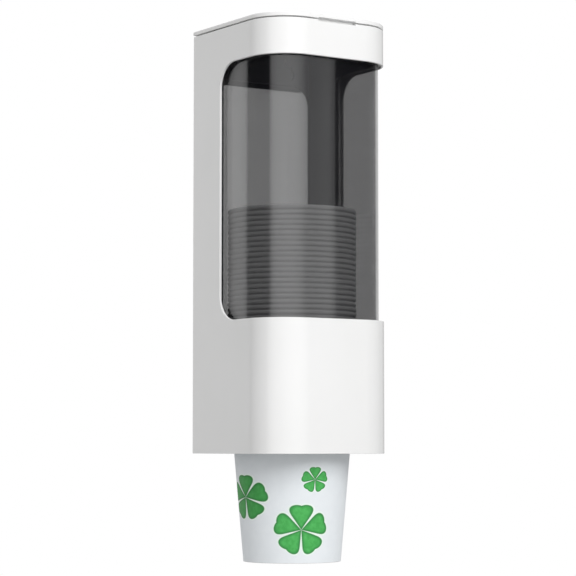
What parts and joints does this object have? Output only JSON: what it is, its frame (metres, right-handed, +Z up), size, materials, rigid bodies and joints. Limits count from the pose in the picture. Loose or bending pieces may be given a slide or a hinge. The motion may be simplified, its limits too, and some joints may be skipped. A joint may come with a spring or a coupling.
{
  "type": "wall cup dispenser",
  "caption": "Wall-hung pull-type paper cup dispenser: white housing with a smoke window, hinged lid, stacked cups and one cup hanging from the round mouth below.",
  "frame": {"origin": "centre of the adhesive wall pad's rear face, on the wall plane", "axes": "+Z up, +Y into the wall, +X to the right seen from the front"},
  "size_m": [0.09, 0.0923, 0.3186],
  "materials": {
    "housing_white": "gloss",
    "lid_white": "gloss",
    "plate_white": "satin",
    "slider_white": "satin",
    "frame_black": "satin",
    "smoke_acrylic": "gloss",
    "smoke_pane": "gloss",
    "bracket_black": "matte",
    "pad_foam": "matte",
    "bumper_rubber": "matte",
    "finger_silicone": "matte",
    "screw_steel": "polished",
    "pin_steel": "polished",
    "stack_paper": "matte",
    "cup_paper": "matte"
  },
  "bodies": {
    "wall_mount": {"wall_bracket": "bracket_black", "wall_pad": "pad_foam"},
    "cabinet": {"housing": "housing_white", "guide_frame": "frame_black", "smoke_window": "smoke_acrylic", "rear_pane": "smoke_pane", "base_plate": "plate_white", "housing_screw_front_left": "screw_steel", "housing_screw_front_right": "screw_steel", "housing_screw_rear_left": "screw_steel", "housing_screw_rear_right": "screw_steel", "frame_screw_left": "screw_steel", "frame_screw_right": "screw_steel", "hinge_pin_left": "pin_steel", "hinge_pin_right": "pin_steel", "rear_bumper_left": "bumper_rubber", "rear_bumper_right": "bumper_rubber"},
    "lid": {"lid": "lid_white"},
    "cup_stack": {"cup_stack": "stack_paper"},
    "hanging_cup": {"hanging_cup": "cup_paper"},
    "gripper_rear_right": {"slider_rear_right": "slider_white", "finger_rear_right": "finger_silicone", "clamp_screw_rear_right": "screw_steel"},
    "gripper_rear_left": {"slider_rear_left": "slider_white", "finger_rear_left": "finger_silicone", "clamp_screw_rear_left": "screw_steel"},
    "gripper_front_left": {"slider_front_left": "slider_white", "finger_front_left": "finger_silicone", "clamp_screw_front_left": "screw_steel"},
    "gripper_front_right": {"slider_front_right": "slider_white", "finger_front_right": "finger_silicone", "clamp_screw_front_right": "screw_steel"}
  },
  "joints": [
    {"name": "cabinet_lift", "type": "slide", "parent": "wall_mount", "child": "cabinet", "axis": [0, 0, 1], "range_m": [0, 0.008]},
    {"name": "lid_hinge", "type": "hinge", "parent": "cabinet", "child": "lid", "pos_m": [0, -0.0044, 0.0166], "axis": [-1, 0, 0], "range_deg": [0, 90]},
    {"name": "stack_lift", "type": "slide", "parent": "cabinet", "child": "cup_stack", "axis": [0, 0, 1], "range_m": [0, 0.1]},
    {"name": "cup_pull", "type": "slide", "parent": "cabinet", "child": "hanging_cup", "axis": [0, 0, -1], "range_m": [0, 0.14], "deforming": ["finger_rear_right", "finger_rear_left", "finger_front_left", "finger_front_right"]},
    {"name": "gripper_rear_right_slide", "type": "slide", "parent": "cabinet", "child": "gripper_rear_right", "axis": [0.7314, 0.682, 0], "range_m": [0, 0.0024]},
    {"name": "gripper_rear_left_slide", "type": "slide", "parent": "cabinet", "child": "gripper_rear_left", "axis": [-0.7314, 0.682, 0], "range_m": [0, 0.0024]},
    {"name": "gripper_front_left_slide", "type": "slide", "parent": "cabinet", "child": "gripper_front_left", "axis": [-0.7071, -0.7071, 0], "range_m": [0, 0.0024]},
    {"name": "gripper_front_right_slide", "type": "slide", "parent": "cabinet", "child": "gripper_front_right", "axis": [0.7071, -0.7071, 0], "range_m": [0, 0.0024]}
  ]
}
